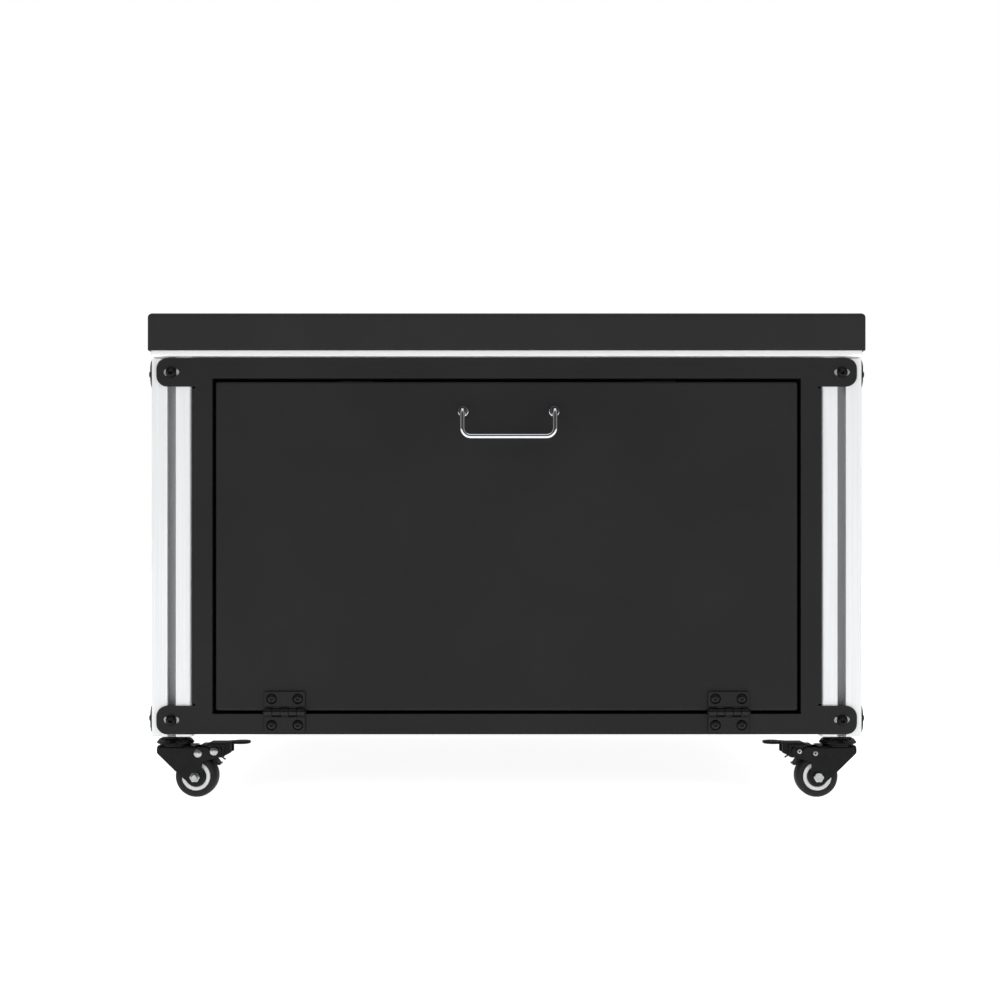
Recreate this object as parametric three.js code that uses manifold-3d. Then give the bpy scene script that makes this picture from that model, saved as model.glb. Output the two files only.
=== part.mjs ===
// A low mobile workbench with a lockable base: an aluminium slot-profile frame on four brake castors,
// clad in folded black sheet steel, with a steel worktop cap and one drop-down door in the front.
// Millimetres, +Z up, front towards -Y, origin on the floor under the middle of the whole object.
import * as THREE from "three";
import { mergeVertices } from "three/addons/utils/BufferGeometryUtils.js";
import Module from "manifold-3d";

const wasm = await Module();
wasm.setup();

// Overall sizes
const frameWidth = 700;
const frameDepth = 600;
const postLength = 373.2;

// Clearances
const restGap = 0.3;
const panelClearance = 0.5;
const runningGap = 0.35;

// Slot profile of the posts and the top frame
const profileSize = 40;
const profileCorner = 3;
const slotWidth = 8.2;
const lipThickness = 4.5;
const cavityWidth = 20;
const cavityWall = 3.5;
const cavityFloorWidth = 10;
const cavityDepth = 12.25;

// Worktop cap, a shallow steel pan turned over the top frame
const worktopSheet = 2.5;
const worktopClearance = 0.5;
const worktopSkirt = 36;
const worktopRadius = 3;

// Folded sheet panels, hung on the posts by slotted ears
const panelSheet = 2;
const panelHeight = 370.1;
const panelTopGap = 0.8;
const flangeDepth = 16;
const earReach = 35;
const earHeight = 28;
const earRadius = 10.5;
const earInset = 14;
const earSlotLength = 15.7;
const reliefWidth = 3;
const reliefHeight = 2;

// Door opening and door
const ringWidth = 20;
const jambDepth = 34;
const doorGap = 3.2;
const doorDepth = 14;
const doorCorner = 2.5;
const doorLip = 14;

// Floor tray
const traySheet = 1.5;
const trayLip = 12;

// Butt hinges of the door
const hingeOffset = 218;
const hingeWidth = 40;
const leafHeight = 20;
const leafSheet = 2;
const knuckleRadius = 3.4;
const knuckleCount = 5;
const pinRadius = 1.5;
const pinHeadRadius = 2.6;
const pinHeadHeight = 0.9;
const hingeLift = 2.4;

// Bent-rod pull handle
const rodRadius = 2.5;
const handleSpan = 90;
const handleDrop = 26.5;
const handleReach = 28;
const handleBelowTop = 29.3;
const handleOffset = 2;
const elbowRadius = 6;
const barBendRadius = 8;
const rosetteRadius = 5;
const rosetteHeight = 1.6;
const backNutRadius = 4;
const backNutHeight = 3.2;

// Magnetic catches
const magnetOffset = 150;
const magnetWidth = 36;
const magnetHeight = 12;
const magnetDepth = 14;

// M6 button-head bolts with their slot nuts
const boltRadius = 3;
const boltHeadRadius = 5.3;
const boltHeadHeight = 3.4;
const socketRadius = 2.3;
const socketDepth = 1.8;
const boltEndDepth = 11;
const slotNutWidth = 15;
const slotNutLength = 12;
const slotNutHeight = 4;

// Castors: stem on the post's centre line, wheel trailing behind it
const stemRadius = 4;
const stemEngagement = 22;
const stemCollarRadius = 8;
const stemCollarHeight = 1.2;
const stemRivetRadius = 6.5;
const stemRivetHeight = 2;
const cupRadius = 18.5;
const cupHeight = 8;
const cupTopGap = 1.9;
const crownSheet = 2.4;
const wheelRadius = 21;
const castorHeadroom = 19.5;
const wheelTrail = 22;
const wheelWidth = 20;
const coreRadius = 14.2;
const hubRadius = 10.8;
const hubDish = 1.6;
const axleRadius = 3;
const axleHeadRadius = 5.5;
const axleHeadHeight = 4;
const cheekSheet = 2.3;
const cheekGap = 1.7;
const rivetRadius = 1.5;
const rivetHeadRadius = 4.2;
const rivetHeadHeight = 2.2;
const rivetTailHeight = 1;
const bossRadius = 9;
const pedalSheet = 1.6;
const pedalTabRadius = 11;
const pedalTipReach = 75;
const shoeWidth = 16;
const shoeSheet = 3;
const shoeStandOff = 2.5;

const roundSides = 16;
const smallSides = 10;
const wheelSides = 26;
const boreSegments = 5;

// Heights and places worked out from the sizes above
const halfProfile = profileSize / 2;
const postCentreX = frameWidth / 2 - halfProfile;
const postCentreY = frameDepth / 2 - halfProfile;
const tyreTop = 2 * wheelRadius;
const castorHeight = tyreTop + castorHeadroom;
const postTop = castorHeight + postLength;
const railBottom = postTop + restGap;
const railTop = railBottom + profileSize;
const worktopTop = railTop + restGap + worktopSheet;
const panelTop = railBottom - panelTopGap;
const panelBottom = panelTop - panelHeight;
const panelFaceOffset = restGap + panelSheet;

const openingWidth = frameWidth - 2 * profileSize - 2 * panelClearance - 2 * ringWidth;
const openingBottom = panelBottom + ringWidth;
const openingTop = panelTop - ringWidth;
const doorWidth = openingWidth - 2 * doorGap;
const doorHeight = openingTop - openingBottom - 2 * doorGap;
const doorBottom = openingBottom + doorGap;
const doorFace = -frameDepth / 2 - panelFaceOffset;
const hingeAxisZ = openingBottom + hingeLift;
const hingeAxisY = doorFace - restGap - knuckleRadius;

const frontReach = -doorFace + handleReach + rodRadius;
const backReach = frameDepth / 2 + worktopClearance + worktopSheet;
const footprintShift = (frontReach - backReach) / 2;

const steel = new THREE.MeshStandardMaterial({ color: 0x2b2b2b, roughness: 0.55, metalness: 0.2 });
const worktopBlack = new THREE.MeshStandardMaterial({ color: 0x303030, roughness: 0.5, metalness: 0.2 });
const aluminium = new THREE.MeshStandardMaterial({ color: 0xe4e6e8, roughness: 0.4, metalness: 0.9 });
const chrome = new THREE.MeshStandardMaterial({ color: 0xd0d2d4, roughness: 0.1, metalness: 1 });
const blackOxide = new THREE.MeshStandardMaterial({ color: 0x1c1c1d, roughness: 0.45, metalness: 0.6 });
const castorBlack = new THREE.MeshStandardMaterial({ color: 0x242425, roughness: 0.5, metalness: 0.3 });
const zinc = new THREE.MeshStandardMaterial({ color: 0xb9bcbf, roughness: 0.3, metalness: 0.9 });
const tyreBlack = new THREE.MeshStandardMaterial({ color: 0x272727, roughness: 0.7, metalness: 0 });
const coreGrey = new THREE.MeshStandardMaterial({ color: 0xcfd0d1, roughness: 0.5, metalness: 0 });
const magnetPlastic = new THREE.MeshStandardMaterial({ color: 0x1e1e1f, roughness: 0.6, metalness: 0 });

// Radius of a faceted hole whose flats stay clear of a round piece by the given gap.
const holeRadius = (radius, gap, sides) => (radius + gap) / Math.cos(Math.PI / sides);

// A closed geometry as a solid that can be joined and cut.
function solidOf(geometry) {
  const bare = geometry.index ? geometry.toNonIndexed() : geometry.clone();
  bare.deleteAttribute("normal");
  bare.deleteAttribute("uv");
  const merged = mergeVertices(bare, 1e-4);
  return new wasm.Manifold(
    new wasm.Mesh({
      numProp: 3,
      vertProperties: merged.attributes.position.array,
      triVerts: new Uint32Array(merged.index.array),
    }),
  );
}

// A solid back as a geometry.
function geometryOf(solid) {
  const mesh = solid.getMesh();
  return new THREE.BufferGeometry()
    .setAttribute("position", new THREE.BufferAttribute(mesh.vertProperties, 3))
    .setIndex(new THREE.BufferAttribute(mesh.triVerts, 1));
}

const joined = (...geometries) =>
  geometryOf(geometries.map(solidOf).reduce((whole, next) => whole.add(next)));

const cutFrom = (geometry, ...tools) =>
  geometryOf(tools.map(solidOf).reduce((rest, tool) => rest.subtract(tool), solidOf(geometry)));

function box([x0, x1], [y0, y1], [z0, z1]) {
  return new THREE.BoxGeometry(x1 - x0, y1 - y0, z1 - z0).translate((x0 + x1) / 2, (y0 + y1) / 2, (z0 + z1) / 2);
}

// A round bar along X, Y or Z between two places on that axis.
function bar(radius, axis, from, to, [x, y, z] = [0, 0, 0], sides = roundSides) {
  const turned = new THREE.CylinderGeometry(radius, radius, to - from, sides).translate(0, (from + to) / 2, 0);
  if (axis === "x") turned.rotateZ(-Math.PI / 2);
  if (axis === "z") turned.rotateX(Math.PI / 2);
  return turned.translate(x, y, z);
}

// A body of revolution about Y, from [radius, place along Y] points that run with Y rising.
function turnedAboutY(points, sides = roundSides) {
  return new THREE.LatheGeometry(points.map(([r, y]) => new THREE.Vector2(r, y)), sides);
}

function turnedAboutZ(points, sides = smallSides) {
  return turnedAboutY(points, sides).rotateX(Math.PI / 2);
}

// A flat shape drawn in X and Z, given its thickness along Y between two places.
function standingPlate(shape, [y0, y1], curveSegments = 3) {
  return new THREE.ExtrudeGeometry(shape, { depth: y1 - y0, bevelEnabled: false, curveSegments })
    .rotateX(Math.PI / 2)
    .translate(0, y1, 0);
}

function roundedRectangle([x0, x1], [y0, y1], radius) {
  const shape = new THREE.Shape();
  shape.absarc(x1 - radius, y1 - radius, radius, 0, Math.PI / 2);
  shape.absarc(x0 + radius, y1 - radius, radius, Math.PI / 2, Math.PI);
  shape.absarc(x0 + radius, y0 + radius, radius, Math.PI, 1.5 * Math.PI);
  shape.absarc(x1 - radius, y0 + radius, radius, 1.5 * Math.PI, 2 * Math.PI);
  return shape;
}

function place(parent, name, geometry, material, [x, y, z] = [0, 0, 0]) {
  const mesh = new THREE.Mesh(geometry, material.clone());
  mesh.name = name;
  mesh.position.set(x, y, z);
  parent.add(mesh);
  return mesh;
}

// Section of the slot profile: a slot and its cavity in each of the four sides, and a round core bore.
function profileSection() {
  const half = halfProfile;
  const rightHalf = [
    [slotWidth / 2, half],
    [slotWidth / 2, half - lipThickness],
    [cavityWidth / 2, half - lipThickness],
    [cavityWidth / 2, half - lipThickness - cavityWall],
    [cavityFloorWidth / 2, half - cavityDepth],
  ];
  const leftHalf = rightHalf.map(([x, y]) => [-x, y]).reverse();
  const cornerSteps = 3;
  const corner = Array.from({ length: cornerSteps + 1 }, (_, i) => {
    const angle = Math.PI / 2 + (i / cornerSteps) * (Math.PI / 2);
    return [
      -(half - profileCorner) + profileCorner * Math.cos(angle),
      half - profileCorner + profileCorner * Math.sin(angle),
    ];
  });
  const oneSide = [...rightHalf, ...leftHalf, ...corner].map(([x, y]) => new THREE.Vector2(x, y));
  const outline = [0, 1, 2, 3].flatMap((turn) =>
    oneSide.map((p) => p.clone().rotateAround(new THREE.Vector2(0, 0), (turn * Math.PI) / 2)),
  );
  const section = new THREE.Shape(outline);
  const coreBore = holeRadius(stemRadius, restGap, 2 * boreSegments);
  section.holes.push(new THREE.Path().absarc(0, 0, coreBore, 0, 2 * Math.PI, true));
  return section;
}

function post() {
  const settings = { depth: postLength, bevelEnabled: false, curveSegments: boreSegments };
  return new THREE.ExtrudeGeometry(profileSection(), settings);
}

// A top rail along X, its outer face towards -Y. Each end vertex slides back by its distance from the
// outer face, which mitres the end.
function mitredRail(length) {
  const mitreGap = restGap / Math.SQRT2;
  const settings = { depth: length, bevelEnabled: false, curveSegments: boreSegments };
  const rail = new THREE.ExtrudeGeometry(profileSection(), settings)
    .translate(0, 0, -length / 2)
    .applyMatrix4(new THREE.Matrix4().set(0, 0, 1, 0, 1, 0, 0, 0, 0, 1, 0, 0, 0, 0, 0, 1));
  const position = rail.attributes.position;
  for (let i = 0; i < position.count; i++) {
    const end = Math.sign(position.getX(i));
    position.setX(i, end * (length / 2 - (halfProfile + position.getY(i)) - mitreGap));
  }
  return rail;
}

function worktopCap() {
  const halfX = frameWidth / 2 + worktopClearance;
  const halfY = frameDepth / 2 + worktopClearance;
  const outerX = halfX + worktopSheet;
  const outerY = halfY + worktopSheet;
  const skirtBottom = worktopTop - worktopSkirt;
  const rounded = new THREE.ExtrudeGeometry(
    roundedRectangle([-outerX, outerX], [-outerY, outerY], worktopRadius + 0.5),
    {
      depth: worktopSkirt,
      bevelThickness: worktopRadius,
      bevelSize: worktopRadius,
      bevelOffset: -worktopRadius,
      bevelSegments: 3,
      curveSegments: 4,
    },
  ).translate(0, 0, worktopTop - worktopSkirt - worktopRadius);
  return cutFrom(
    rounded,
    box([-halfX, halfX], [-halfY, halfY], [skirtBottom - 2 * worktopRadius, worktopTop - worktopSheet]),
    box([-outerX - 1, outerX + 1], [-outerY - 1, outerY + 1], [skirtBottom - 2 * worktopRadius, skirtBottom]),
  );
}

// A sheet panel between two posts: outer face at y = 0, foot at z = 0, its four edges folded back,
// and a slotted ear at each corner that lies on the post.
function foldedPanel(run, opening) {
  const half = run / 2 - profileSize - panelClearance;
  const tip = half + earReach;
  const boltX = run / 2 - halfProfile;
  const earSlotHeight = 2 * holeRadius(boltRadius, restGap, smallSides);
  const returnFoot = earHeight + reliefHeight;
  const solids = [box([-half, half], [0, panelSheet], [0, panelHeight])];
  const cuts = [];
  for (const side of [-1, 1]) {
    const across = (from, to) => [Math.min(side * from, side * to), Math.max(side * from, side * to)];
    solids.push(
      box(across(half - panelSheet, half), [0, flangeDepth], [returnFoot, panelHeight - returnFoot]),
    );
    for (const [low, relief] of [
      [0, earHeight],
      [panelHeight - earHeight, panelHeight - earHeight - reliefHeight],
    ]) {
      const ear = roundedRectangle(across(half - 2 * earRadius, tip), [low, low + earHeight], earRadius);
      solids.push(standingPlate(ear, [0, panelSheet]));
      const boltZ = low === 0 ? earInset : panelHeight - earInset;
      const slot = roundedRectangle(
        [side * boltX - earSlotLength / 2, side * boltX + earSlotLength / 2],
        [boltZ - earSlotHeight / 2, boltZ + earSlotHeight / 2],
        earSlotHeight / 2 - 0.01,
      );
      cuts.push(standingPlate(slot, [-1, panelSheet + 1], 2));
      cuts.push(box(across(half - reliefWidth, half + 1), [-1, flangeDepth + 1], [relief, relief + reliefHeight]));
    }
  }
  for (const edge of [0, panelHeight - panelSheet]) {
    solids.push(box([-half, half], [0, flangeDepth], [edge, edge + panelSheet]));
  }
  if (opening) {
    const { halfWidth, bottom, top, depth } = opening;
    const jamb = panelSheet;
    solids.push(box([-halfWidth - jamb, halfWidth + jamb], [0, depth], [bottom - jamb, top + jamb]));
    cuts.push(box([-halfWidth, halfWidth], [-1, depth + 1], [bottom, top]));
  }
  return cutFrom(joined(...solids), ...cuts);
}

// A bolt through an ear's slot, with the slot nut that it pulls against the inside of the post's lips.
// y = 0 is the post's face; the head is towards -Y.
function earBolt() {
  const seat = -(panelFaceOffset + restGap);
  const head = turnedAboutY([
    [0, seat - boltHeadHeight],
    [boltHeadRadius * 0.6, seat - boltHeadHeight],
    [boltHeadRadius, seat - boltHeadHeight * 0.3],
    [boltHeadRadius, seat],
    [boltRadius, seat],
    [boltRadius, boltEndDepth],
    [0, boltEndDepth],
  ], smallSides);
  const nutTop = lipThickness + restGap;
  const nut = box(
    [-slotNutWidth / 2, slotNutWidth / 2],
    [nutTop, nutTop + slotNutHeight],
    [-slotNutLength / 2, slotNutLength / 2],
  );
  const socket = bar(socketRadius, "y", seat - boltHeadHeight - 1, seat - boltHeadHeight + socketDepth, [0, 0, 0], 6);
  return cutFrom(joined(head, nut), socket);
}

function floorTray() {
  const foot = panelBottom + panelSheet + restGap;
  const longX = frameWidth / 2 - restGap;
  const longY = frameDepth / 2 - restGap;
  const shortX = frameWidth / 2 - profileSize - panelClearance;
  const shortY = frameDepth / 2 - profileSize - panelClearance;
  const plate = [foot, foot + traySheet];
  const lip = [foot, foot + trayLip];
  const pieces = [
    box([-shortX, shortX], [-longY, longY], plate),
    box([-longX, longX], [-shortY, shortY], plate),
  ];
  for (const side of [-1, 1]) {
    const between = (a, b) => [Math.min(side * a, side * b), Math.max(side * a, side * b)];
    pieces.push(box([-shortX, shortX], between(longY - traySheet, longY), lip));
    pieces.push(box(between(longX - traySheet, longX), [-shortY, shortY], lip));
  }
  return joined(...pieces);
}

// The door pan: face at y = 0, four returns folded back and a narrow lip turned in behind.
function doorPan() {
  const half = doorWidth / 2;
  const prism = (inset, corner, [y0, y1]) =>
    standingPlate(roundedRectangle([-half + inset, half - inset], [inset, doorHeight - inset], corner), [y0, y1], 3);
  const holes = [-1, 1].map((side) =>
    bar(
      holeRadius(rodRadius, restGap, smallSides), "y", -1, panelSheet + 1,
      [handleOffset + (side * handleSpan) / 2, 0, doorHeight - handleBelowTop], smallSides,
    ),
  );
  return cutFrom(
    prism(0, doorCorner, [0, doorDepth]),
    prism(panelSheet, doorCorner - panelSheet + 0.5, [panelSheet, doorDepth - panelSheet]),
    prism(panelSheet + doorLip, 1, [doorDepth - 2 * panelSheet, doorDepth + 1]),
    ...holes,
  );
}

// One leaf of a butt hinge about X, with its barrels. up = 1 stands above the pin, -1 hangs below it.
function hingeLeaf(up, first) {
  const clear = knuckleRadius + restGap;
  const pitch = hingeWidth / knuckleCount;
  const heights = (a, b) => [Math.min(up * a, up * b), Math.max(up * a, up * b)];
  const back = [knuckleRadius - leafSheet, knuckleRadius];
  const pieces = [box([-hingeWidth / 2, hingeWidth / 2], back, heights(clear, leafHeight))];
  for (let i = first; i < knuckleCount; i += 2) {
    const from = -hingeWidth / 2 + i * pitch + (i > 0 ? restGap / 2 : 0);
    const to = -hingeWidth / 2 + (i + 1) * pitch - (i < knuckleCount - 1 ? restGap / 2 : 0);
    const barrel = bar(knuckleRadius, "x", from, to, [0, 0, 0], smallSides);
    pieces.push(barrel, box([from, to], back, heights(0, clear + 1)));
  }
  const bore = bar(
    holeRadius(pinRadius, restGap, smallSides), "x", -hingeWidth, hingeWidth, [0, 0, 0], smallSides,
  );
  return cutFrom(joined(...pieces), bore);
}

function hingePin() {
  const end = hingeWidth / 2 + restGap;
  return turnedAboutY(
    [
      [0, -end - pinHeadHeight],
      [pinHeadRadius * 0.7, -end - pinHeadHeight],
      [pinHeadRadius, -end],
      [pinRadius, -end],
      [pinRadius, end],
      [pinHeadRadius, end],
      [pinHeadRadius * 0.7, end + pinHeadHeight],
      [0, end + pinHeadHeight],
    ],
    smallSides,
  ).rotateZ(-Math.PI / 2);
}

// The pull: a rod that leaves the door, turns down, and crosses to the other leg. y = 0 is the door's face.
function pullHandle() {
  const half = handleSpan / 2;
  const behind = panelSheet + restGap + backNutHeight;
  const path = new THREE.CurvePath();
  const corners = [
    [new THREE.Vector3(-half, -handleReach, 0), elbowRadius],
    [new THREE.Vector3(-half, -handleReach, -handleDrop), barBendRadius],
    [new THREE.Vector3(half, -handleReach, -handleDrop), barBendRadius],
    [new THREE.Vector3(half, -handleReach, 0), elbowRadius],
  ];
  let from = new THREE.Vector3(-half, behind, 0);
  const last = new THREE.Vector3(half, behind, 0);
  corners.forEach(([corner, radius], i) => {
    const next = i + 1 < corners.length ? corners[i + 1][0] : last;
    const entry = corner.clone().add(from.clone().sub(corner).setLength(radius));
    const exit = corner.clone().add(next.clone().sub(corner).setLength(radius));
    path.add(new THREE.LineCurve3(from, entry));
    path.add(new THREE.QuadraticBezierCurve3(entry, corner, exit));
    from = exit;
  });
  path.add(new THREE.LineCurve3(from, last));
  const section = new THREE.Shape().absarc(0, 0, rodRadius, 0, 2 * Math.PI);
  const rod = new THREE.ExtrudeGeometry(section, { steps: 56, extrudePath: path, curveSegments: 4 });
  const ends = [-half, half].flatMap((x) => [
    bar(rosetteRadius, "y", -restGap - rosetteHeight, -restGap, [x, 0, 0], smallSides),
    bar(backNutRadius, "y", panelSheet + restGap, behind, [x, 0, 0], 6),
  ]);
  return joined(rod, ...ends);
}

function magnetCatch() {
  return standingPlate(
    roundedRectangle([-magnetWidth / 2, magnetWidth / 2], [-magnetHeight, 0], 1.5),
    [0, magnetDepth],
  );
}

// Castor, drawn with its stem's axis on Z, the floor at z = 0 and the wheel trailing along +X.
const cupTop = castorHeight - cupTopGap;
const cupBottom = cupTop - cupHeight;
const crownBottom = cupBottom - crownSheet;
const innerCheek = wheelWidth / 2 + cheekGap;
const outerCheek = innerCheek + cheekSheet;
const rearRivet = [wheelTrail + 2.7, tyreTop + 2.3];
const brakePivot = [wheelTrail + 18.5, tyreTop + 4.3];
const bracketEnd = wheelTrail + 35;

function castorStem() {
  const collarTop = castorHeight - restGap;
  const rivetTop = crownBottom - restGap;
  return turnedAboutZ([
    [0, castorHeight + stemEngagement],
    [stemRadius, castorHeight + stemEngagement],
    [stemRadius, collarTop],
    [stemCollarRadius, collarTop],
    [stemCollarRadius, collarTop - stemCollarHeight],
    [stemRadius, collarTop - stemCollarHeight],
    [stemRadius, rivetTop],
    [stemRivetRadius, rivetTop],
    [stemRivetRadius - 1, rivetTop - stemRivetHeight],
    [0, rivetTop - stemRivetHeight],
  ].reverse());
}

// One cheek's outline in X and Z: from the crown down to the axle boss and out to the brake bracket.
function cheekOutline() {
  const shape = new THREE.Shape();
  const back = -(cupRadius - 2.5);
  shape.moveTo(back, cupBottom - 0.5);
  shape.lineTo(back, cupBottom - 7);
  shape.lineTo(wheelTrail - bossRadius * 2, wheelRadius + 4.2);
  shape.absarc(wheelTrail, wheelRadius, bossRadius, Math.PI, 1.95 * Math.PI);
  shape.lineTo(wheelTrail + 8.6, tyreTop - 5.8);
  shape.lineTo(wheelTrail + 18, tyreTop - 2.7);
  shape.lineTo(wheelTrail + 25, tyreTop - 1.8);
  shape.lineTo(bracketEnd, tyreTop + 2.8);
  shape.lineTo(bracketEnd, tyreTop + 8.5);
  shape.lineTo(wheelTrail + 15, tyreTop + 9);
  shape.lineTo(wheelTrail, cupBottom - 2.6);
  shape.closePath();
  return shape;
}

function castorFork() {
  const cup = turnedAboutZ([
    [0, cupTop],
    [cupRadius - 6, cupTop],
    [cupRadius - 2.2, cupTop - 1.6],
    [cupRadius, cupTop - 4.5],
    [cupRadius, cupBottom],
    [0, cupBottom],
  ].reverse(), roundSides);
  const crown = box([-(cupRadius - 2.5), wheelTrail], [-outerCheek, outerCheek], [crownBottom, cupBottom + 0.4]);
  const stemHole = bar(
    holeRadius(stemRadius, runningGap, smallSides), "z", crownBottom - 1, cupTop + 1, [0, 0, 0], smallSides,
  );
  const cheeks = [-1, 1].map((side) => {
    const faces = [side * innerCheek, side * outerCheek].sort((a, b) => a - b);
    return standingPlate(cheekOutline(), faces, 5);
  });
  const axleHole = bar(
    holeRadius(axleRadius, restGap, smallSides), "y", -outerCheek - 1, outerCheek + 1,
    [wheelTrail, 0, wheelRadius], smallSides,
  );
  const endWall = box(
    [bracketEnd - 2.4, bracketEnd],
    [-outerCheek, outerCheek],
    [tyreTop + 2.8, tyreTop + 7.8],
  );
  const rivets = [rearRivet, brakePivot].map(([x, z]) =>
    turnedAboutY(
      [
        [0, -outerCheek - rivetHeadHeight],
        [rivetHeadRadius * 0.6, -outerCheek - rivetHeadHeight * 0.85],
        [rivetHeadRadius, -outerCheek],
        [rivetRadius, -outerCheek],
        [rivetRadius, outerCheek + rivetTailHeight],
        [0, outerCheek + rivetTailHeight],
      ],
      smallSides,
    ).translate(x, 0, z),
  );
  return cutFrom(joined(cup, crown, ...cheeks, endWall, ...rivets), stemHole, axleHole);
}

function axleBolt() {
  const seat = outerCheek + restGap;
  return joined(
    bar(axleRadius, "y", -seat - axleHeadHeight - 1.4, seat + 1, [wheelTrail, 0, wheelRadius], smallSides),
    bar(axleHeadRadius, "y", seat, seat + axleHeadHeight, [wheelTrail, 0, wheelRadius], 6),
    bar(axleHeadRadius, "y", -seat - axleHeadHeight, -seat, [wheelTrail, 0, wheelRadius], 6),
  );
}

// A wheel part is turned about the axle with its flats at the floor, and its size is taken across them.
function onAxle(points) {
  const toCorner = 1 / Math.cos(Math.PI / wheelSides);
  return turnedAboutY(points.map(([r, y]) => [r * toCorner, y]), wheelSides)
    .rotateY(Math.PI / wheelSides)
    .translate(wheelTrail, 0, wheelRadius);
}

function wheelCore() {
  const half = wheelWidth / 2;
  const bore = holeRadius(axleRadius, runningGap, wheelSides);
  return onAxle([
    [bore, -half + 0.2],
    [hubRadius, -half + hubDish],
    [hubRadius, -half + 0.6],
    [coreRadius, -half + 0.6],
    [coreRadius, half - 0.6],
    [hubRadius, half - 0.6],
    [hubRadius, half - hubDish],
    [bore, half - 0.2],
    [bore, -half + 0.2],
  ]);
}

function tyre() {
  const half = wheelWidth / 2;
  const inside = coreRadius + restGap;
  return onAxle([
    [inside, -half],
    [wheelRadius - 2.6, -half + 0.4],
    [wheelRadius - 0.7, -half + 2],
    [wheelRadius, -half + 4.5],
    [wheelRadius, half - 4.5],
    [wheelRadius - 0.7, half - 2],
    [wheelRadius - 2.6, half - 0.4],
    [inside, half],
    [inside, -half],
  ]);
}

// The brake pedal: a bent sheet between the cheeks, a rounded toe tab outside them, two ears on the
// pivot rivet and a shoe that swings against the tyre when the tab is pressed.
function brakePedal() {
  const [pivotX, pivotZ] = brakePivot;
  const half = innerCheek - restGap;
  const tabBottom = tyreTop + 11;
  const leverTop = tyreTop + 10.5;
  const tab = new THREE.ExtrudeGeometry(
    roundedRectangle([bracketEnd - 8, pedalTipReach], [-pedalTabRadius, pedalTabRadius], pedalTabRadius - 0.5),
    { depth: pedalSheet, bevelEnabled: false, curveSegments: 4 },
  ).translate(0, 0, tabBottom);
  const neck = box([pivotX - 2, bracketEnd + 4], [-half + 2, half - 2], [tabBottom - 0.5, tabBottom + pedalSheet]);
  const lever = box([pivotX - 14, pivotX + 6], [-half, half], [leverTop - pedalSheet, leverTop]);
  const ears = [-1, 1].map((side) => {
    const faces = [side * (half - pedalSheet), side * half].sort((a, b) => a - b);
    return box([pivotX - 4.5, pivotX + 6], faces, [pivotZ - 5, leverTop]);
  });
  const towardsPivot = Math.atan2(12.5, 25);
  const inner = wheelRadius + shoeStandOff;
  const shoe = box([inner, inner + shoeSheet], [-shoeWidth / 2, shoeWidth / 2], [-5, 4])
    .rotateY(-towardsPivot)
    .translate(wheelTrail, 0, wheelRadius);
  const web = box([pivotX + 2.8, pivotX + 5.2], [-half + 0.5, half - 0.5], [wheelRadius + 14.5, leverTop - 0.5]);
  const pivotHole = bar(
    holeRadius(rivetRadius, runningGap, smallSides), "y", -half - 1, half + 1, [pivotX, 0, pivotZ], smallSides,
  );
  return cutFrom(joined(tab, neck, lever, ...ears, web, shoe), pivotHole);
}

const bench = new THREE.Group();
const frame = new THREE.Group();
frame.position.y = footprintShift;
bench.add(frame);

const corners = [
  ["front_left", -1, -1],
  ["front_right", 1, -1],
  ["back_left", -1, 1],
  ["back_right", 1, 1],
];
for (const [corner, sideX, sideY] of corners) {
  const centre = [sideX * postCentreX, sideY * postCentreY];
  place(frame, `post_${corner}`, post(), aluminium, [...centre, castorHeight]);
  const castor = new THREE.Group();
  castor.position.set(...centre, 0);
  castor.rotation.z = sideX < 0 ? 0 : Math.PI;
  frame.add(castor);
  place(castor, `castor_stem_${corner}`, castorStem(), zinc);
  place(castor, `castor_fork_${corner}`, castorFork(), castorBlack);
  place(castor, `castor_axle_${corner}`, axleBolt(), zinc);
  place(castor, `wheel_core_${corner}`, wheelCore(), coreGrey);
  place(castor, `tyre_${corner}`, tyre(), tyreBlack);
  place(castor, `brake_pedal_${corner}`, brakePedal(), castorBlack);
}

const doorOpening = {
  halfWidth: openingWidth / 2,
  bottom: ringWidth,
  top: panelHeight - ringWidth,
  depth: jambDepth,
};
const sides = [
  { name: "front", panel: "front_frame", turn: 0, run: frameWidth, reach: frameDepth / 2, opening: doorOpening },
  { name: "right", panel: "side_panel_right", turn: Math.PI / 2, run: frameDepth, reach: frameWidth / 2 },
  { name: "back", panel: "back_panel", turn: Math.PI, run: frameWidth, reach: frameDepth / 2 },
  { name: "left", panel: "side_panel_left", turn: -Math.PI / 2, run: frameDepth, reach: frameWidth / 2 },
];
for (const { name, panel, turn, run, reach, opening } of sides) {
  const side = new THREE.Group();
  side.rotation.z = turn;
  frame.add(side);
  place(side, `rail_${name}`, mitredRail(run), aluminium, [0, halfProfile - reach, railBottom + halfProfile]);
  place(side, panel, foldedPanel(run, opening), steel, [0, -reach - panelFaceOffset, panelBottom]);
  if (name === "back") continue;
  for (const [end, sideX] of [["a", -1], ["b", 1]]) {
    for (const [level, z] of [["lower", panelBottom + earInset], ["upper", panelTop - earInset]]) {
      const x = sideX * (run / 2 - halfProfile);
      place(side, `ear_bolt_${name}_${level}_${end}`, earBolt(), blackOxide, [x, -reach, z]);
    }
  }
}

place(frame, "worktop", worktopCap(), worktopBlack);
place(frame, "floor_tray", floorTray(), steel);
place(frame, "door", doorPan(), steel, [0, doorFace, doorBottom]);
place(frame, "door_handle", pullHandle(), chrome, [handleOffset, doorFace, doorBottom + doorHeight - handleBelowTop]);

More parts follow.
